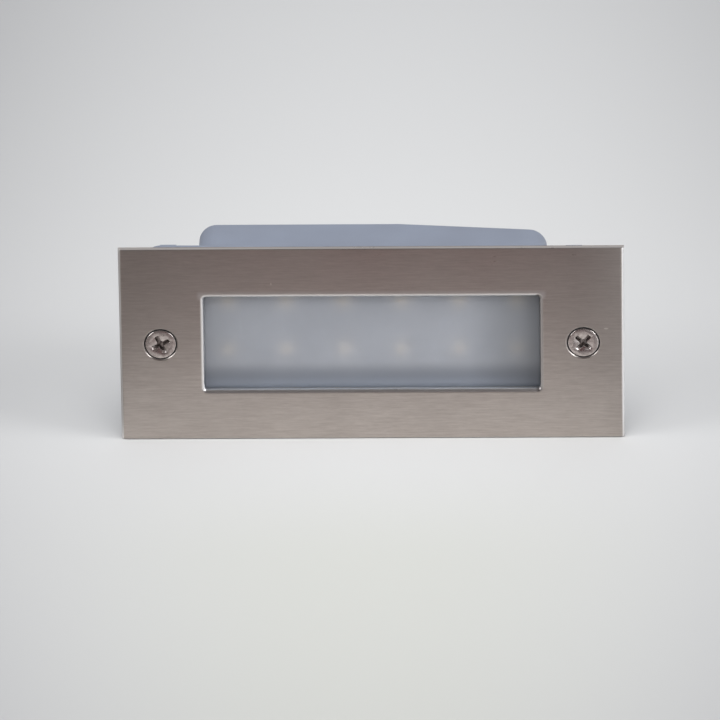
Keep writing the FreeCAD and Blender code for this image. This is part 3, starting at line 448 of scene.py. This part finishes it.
def pick(piece, faces=None, edges=None, points=None):  # selects by place or normal, then opens edit mode
    selectOnly(piece)
    mesh = piece.data
    bpy.ops.object.mode_set(mode="EDIT")
    bpy.context.tool_settings.mesh_select_mode = (bool(points), bool(edges), bool(faces))
    bpy.ops.mesh.select_all(action="DESELECT")
    bpy.ops.object.mode_set(mode="OBJECT")
    if faces:
        for face in mesh.polygons:
            face.select = bool(faces(face.center, face.normal))
    elif edges:
        for edge in mesh.edges:
            a, b = (mesh.vertices[i].co for i in edge.vertices)
            edge.select = bool(edges(a, b))
    else:
        for point in mesh.vertices:
            point.select = bool(points(point.co))
    bpy.ops.object.mode_set(mode="EDIT")


def done():
    bpy.ops.object.mode_set(mode="OBJECT")


def applyModifier(piece, kind, settings):
    selectOnly(piece)
    added = piece.modifiers.new(kind.lower(), kind)
    for key, value in settings.items():
        setattr(added, key, value)
    bpy.ops.object.modifier_apply(modifier=added.name)


def combine(piece, tool, operation):
    applyModifier(piece, "BOOLEAN", {"object": tool, "operation": operation, "solver": "EXACT"})
    bpy.data.objects.remove(tool)


def turned(name, outline, sides=96):  # a lathe piece on the Y axis, from (y, radius) in mm, front first
    selectOnly()
    y, radius = outline[0]
    bpy.ops.mesh.primitive_circle_add(vertices=sides, radius=radius * mm, fill_type="NGON",
                                      location=(0, y * mm, 0), rotation=(math.pi / 2, 0, 0))
    piece = named(name)
    bpy.ops.object.transform_apply(location=True, rotation=True, scale=True)
    bpy.ops.object.mode_set(mode="EDIT")
    bpy.ops.mesh.select_all(action="SELECT")
    for nextY, nextRadius in outline[1:]:
        bpy.ops.mesh.extrude_region_move(TRANSFORM_OT_translate={"value": (0, (nextY - y) * mm, 0)})
        share = nextRadius / radius
        bpy.ops.transform.resize(value=(share, 1, share), center_override=(0, nextY * mm, 0))
        y, radius = nextY, nextRadius
    bpy.ops.mesh.select_all(action="SELECT")
    bpy.ops.mesh.normals_make_consistent(inside=False)
    done()
    return piece


def shift(piece, x=0.0, turn=0.0):  # turns by degrees about the piece's own Y axis, then moves by mm
    move = Matrix.Translation((x * mm, 0, 0))
    piece.data.transform(move @ Matrix.Rotation(math.radians(turn), 4, "Y"))


def threadForm(name, core, crest, pitch, start, end):  # its profile is drawn only in vertex select mode
    low = start - pitch
    # radius, and height as a share of the pitch
    corners = [(core, 0.0), (core, 0.12), (crest, 0.46), (crest, 0.58), (core, 0.92), (core, 1.0)]
    selectOnly()
    bpy.ops.mesh.primitive_plane_add(size=0.1 * mm, location=(core * mm, 0, 0))
    piece = named(name)
    bpy.ops.object.transform_apply(location=True, rotation=True, scale=True)
    bpy.ops.object.mode_set(mode="EDIT")
    bpy.ops.mesh.select_all(action="SELECT")
    bpy.ops.mesh.merge(type="CENTER")
    for (radius, height), (nextRadius, nextHeight) in zip(corners, corners[1:]):
        step = ((nextRadius - radius) * mm, 0, (nextHeight - height) * pitch * mm)
        bpy.ops.mesh.extrude_vertices_move(TRANSFORM_OT_translate={"value": step})
    done()
    steps, coils = screw["threadSteps"], int(math.ceil((end - low) / pitch)) + 1
    applyModifier(piece, "SCREW", {"angle": math.tau, "screw_offset": pitch * mm, "iterations": coils,
                                   "steps": steps, "render_steps": steps,
                                   "use_merge_vertices": True, "merge_threshold": 0.004 * mm})
    piece.data.transform(Matrix.Translation((0, low * mm, 0)) @ Matrix.Rotation(-math.pi / 2, 4, "X"))
    for place, normal in ((start, (0, -1, 0)), (end, (0, 1, 0))):
        pick(piece, points=lambda co: True)
        bpy.ops.mesh.bisect(plane_co=(0, place * mm, 0), plane_no=normal, use_fill=True, clear_outer=True)
        done()
    pick(piece, points=lambda co: True)
    bpy.ops.mesh.remove_doubles(threshold=0.002 * mm)
    bpy.ops.mesh.normals_make_consistent(inside=False)
    done()
    return piece


def crossRecess():
    front, depth = screw["front"] - screw["recessLead"], screw["recessDepth"] + screw["recessLead"]
    narrower = (screw["recessFoot"] / screw["recessLength"], 1, screw["footWidth"] / screw["recessWidth"])
    wings = []
    for turn in (0, 90):
        selectOnly()
        bpy.ops.mesh.primitive_cube_add(size=1, location=(0, (front + depth / 2) * mm, 0))
        wing = named("recessWing")
        wing.scale = (screw["recessLength"] * mm, depth * mm, screw["recessWidth"] * mm)
        bpy.ops.object.transform_apply(location=True, rotation=True, scale=True)
        pick(wing, faces=lambda centre, normal: normal.y > 0.9)
        bpy.ops.transform.resize(value=narrower, center_override=(0, (front + depth) * mm, 0))
        done()
        pick(wing, edges=lambda a, b: abs(a.y - b.y) > max(abs(a.x - b.x) / 2, depth * 0.5 * mm))
        bpy.ops.mesh.bevel(offset=screw["recessCorner"] * mm, segments=3, affect="EDGES")
        done()
        shift(wing, turn=turn)
        wings.append(wing)
    (footAt, footShare), (tipAt, tipRadius) = screw["wellFoot"], screw["wellTip"]
    wellOutline = [(front, screw["well"]), (front + depth * footAt, screw["well"] * footShare),
                   (front + depth * tipAt, tipRadius)]
    well = turned("recessWell", wellOutline, screw["wellSides"])
    combine(wings[0], wings[1], "UNION")
    combine(wings[0], well, "UNION")
    return wings[0]


def coverScrew(side, sign):
    front, radius, soft = screw["front"], screw["radius"], screw["rimRound"]
    core, crest = screw["neckRadius"] - screw["threadDepth"], screw["neckRadius"]
    land = front + soft + screw["land"]
    neck = front + screw["land"] + radius - crest
    angles = [math.radians(90 / screw["rimSteps"] * step) for step in range(screw["rimSteps"] + 1)]
    rim = [(front + soft * (1 - math.cos(a)), radius - soft * (1 - math.sin(a))) for a in angles]
    cone = [(land, radius - (land - front - screw["land"])), (neck, crest)]
    piece = turned(side + "CoverScrew", rim + cone + [(neck + screw["neckLength"], crest)])
    combine(piece, crossRecess(), "DIFFERENCE")
    atFront, reach = (front + 0.01) * mm, (radius - soft * 1.5) * mm * screw["recessReach"]
    pick(piece, edges=lambda a, b: all(p.y < atFront and math.hypot(p.x, p.z) < reach for p in (a, b)))
    bpy.ops.mesh.bevel(offset=screw["edgeSoft"] * mm, segments=2, affect="EDGES")
    done()
    # a known fault: edge mode is still on here, so this adds loose edges and no thread
    threadStart = neck + screw["threadLead"]
    thread = threadForm(side + "Thread", core, crest, screw["pitch"], threadStart, screw["tip"])
    selectOnly(thread, piece)
    bpy.ops.object.join()
    shift(piece, x=sign * screw["apart"] / 2, turn=screw["turns"][side])
    bpy.ops.object.shade_smooth_by_angle(angle=math.radians(screw["smoothAngle"]))
    piece.data.materials.clear()
    piece.data.materials.append(screwSteel(side, sign))
    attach(piece, side + "_cover_screw")
    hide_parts(side + "_screw")


coverScrew("left", -1)
coverScrew("right", 1)
print("cover screws made")


floorLook = {
    "size": 30, "height": -35.3 * mm, "rough": 0.9, "gloss": 0.1,
    "near": (0.80, 0.80, 0.79), "far": (0.42, 0.42, 0.425),
    "sideFall": 9.5, "frontFall": 0.75, "backFall": 0.08, "fallReach": 0.4,
    "cloudScale": 3, "cloudShare": 0.01,
    "front": (0.93, 0.935, 0.89), "frontAhead": (0.01, 0.11), "frontWithin": (0.15, 0.01),
    # painted reflection: what the plate mirrors, a colour the floor shows to glossy rays only
    "mirrorNear": (0.79, 0.75, 0.71), "mirrorFar": (0.124, 0.056, 0.056), "mirrorAhead": (0.02, 0.18),
    "mirrorSide": 19000, "mirrorMiddle": -0.003, "mirrorEnds": (0.03, 0.02, 0.02),
    "endsAhead": 0.9, "endsNear": 0.12,
    "mirrorRight": (0.85, 0.83, 0.81), "mirrorLeft": (0.30, 0.27, 0.25), "mirrorBeyond": (0.087, 0.1),
}


def addFloor():
    selectOnly()
    bpy.ops.mesh.primitive_plane_add(size=floorLook["size"], location=(0, 0, floorLook["height"]))
    floor = bpy.context.object
    floor.name = "floor"
    f = Finish("floorPaper")
    x, y, _ = f.axes()
    # painted pool of light: the floor is paler near the object and darker away from it
    fall = x * x * floorLook["sideFall"] + f.between(-y, 0, 1) * floorLook["frontFall"]
    fall = fall + f.between(y, 0, 1) * floorLook["backFall"]
    cloud = f.noise(floorLook["cloudScale"])
    fade = f.between(fall + cloud * floorLook["cloudShare"], 0, floorLook["fallReach"])
    tone = f.mix(fade, floorLook["near"], floorLook["far"])
    # painted shade: the floor is darker just in front of the plate
    middle = f.between(-y, *floorLook["frontAhead"], shape="SMOOTHSTEP")
    middle = middle * f.between(f.unsigned(x), *floorLook["frontWithin"], shape="SMOOTHSTEP")
    tone = f.mix(1, tone, f.mix(middle, (1, 1, 1), floorLook["front"]), "MULTIPLY")
    # painted reflection, seen only by glossy rays
    ahead = f.between(-y, *floorLook["mirrorAhead"], shape="SMOOTHSTEP")
    mirrored = f.mix(ahead, floorLook["mirrorNear"], floorLook["mirrorFar"])
    sides = (x - floorLook["mirrorMiddle"]) ** 4 * floorLook["mirrorSide"]
    sides = sides * (ahead * floorLook["endsAhead"] + floorLook["endsNear"])
    mirrored = f.mix(f.between(sides, 0, 1), mirrored, floorLook["mirrorEnds"])
    mirrored = f.mix(f.between(x, *floorLook["mirrorBeyond"]), mirrored, floorLook["mirrorRight"])
    mirrored = f.mix(f.between(-x, *floorLook["mirrorBeyond"]), mirrored, floorLook["mirrorLeft"])
    tone = f.mix(f.node("LightPath", {}, {}, "Is Glossy Ray"), tone, mirrored)
    look = {"Base Color": tone, "Roughness": floorLook["rough"], "Specular IOR Level": floorLook["gloss"]}
    paper = f.node("BsdfPrincipled", {}, look, "BSDF")
    clear = f.node("BsdfTransparent", {}, {})  # seen from below, the floor isn't there
    under = f.node("NewGeometry", {}, {}, "Backfacing")
    floor.data.materials.append(f.show(f.node("MixShader", {}, {0: under, 1: paper, 2: clear})))


lamps = [
    {"name": "overhead", "at": (0.0, -0.45, 1.05), "size": 0.6, "watts": 5, "mirrored": False},
    {"name": "rightBox", "at": (1.0, -0.36, 0.56), "size": 0.6, "watts": 6.1, "mirrored": True},
    {"name": "leftBox", "at": (-1.0, -0.36, 0.56), "size": 0.6, "watts": 4.6, "mirrored": True},
]


def addLamp(spec):
    data = bpy.data.lights.new(spec["name"], "AREA")
    data.energy, data.size = spec["watts"], spec["size"]
    lamp = bpy.data.objects.new(spec["name"], data)
    bpy.context.scene.collection.objects.link(lamp)
    lamp.location = spec["at"]
    lamp.rotation_euler = (-Vector(spec["at"])).to_track_quat("-Z", "Y").to_euler()
    lamp.visible_glossy = spec["mirrored"]


studio = {"light": (0.93, 0.95, 1.0), "lightPower": 0.45, "seen": (0.76, 0.76, 0.765),
          "mirroredFront": (0.15, 0.13, 0.125), "mirroredBack": (0.50, 0.46, 0.44)}


def addWorld():
    f = Finish("studio", "worlds", "Generated")
    _, y, _ = f.axes()
    stops = [(0, studio["mirroredFront"]), (1, studio["mirroredBack"])]  # painted reflection, seen only by glossy rays: dark in front, paler behind
    mirrored = f.node("Background", {}, {"Color": f.node("ValToRGB", {"stops": stops}, {"Fac": y})})
    seen = f.node("Background", {}, {"Color": studio["seen"]})
    light = f.node("Background", {}, {"Color": studio["light"], "Strength": studio["lightPower"]})
    for ray, background in (("Is Glossy Ray", mirrored), ("Is Camera Ray", seen)):
        chosen = f.node("LightPath", {}, {}, ray)
        light = f.node("MixShader", {}, {0: chosen, 1: light, 2: background})
    bpy.context.scene.world = f.show(light, "OutputWorld")


addFloor()
for spec in lamps:
    addLamp(spec)
addWorld()
print("stage set")

bpy.context.view_layer.update()
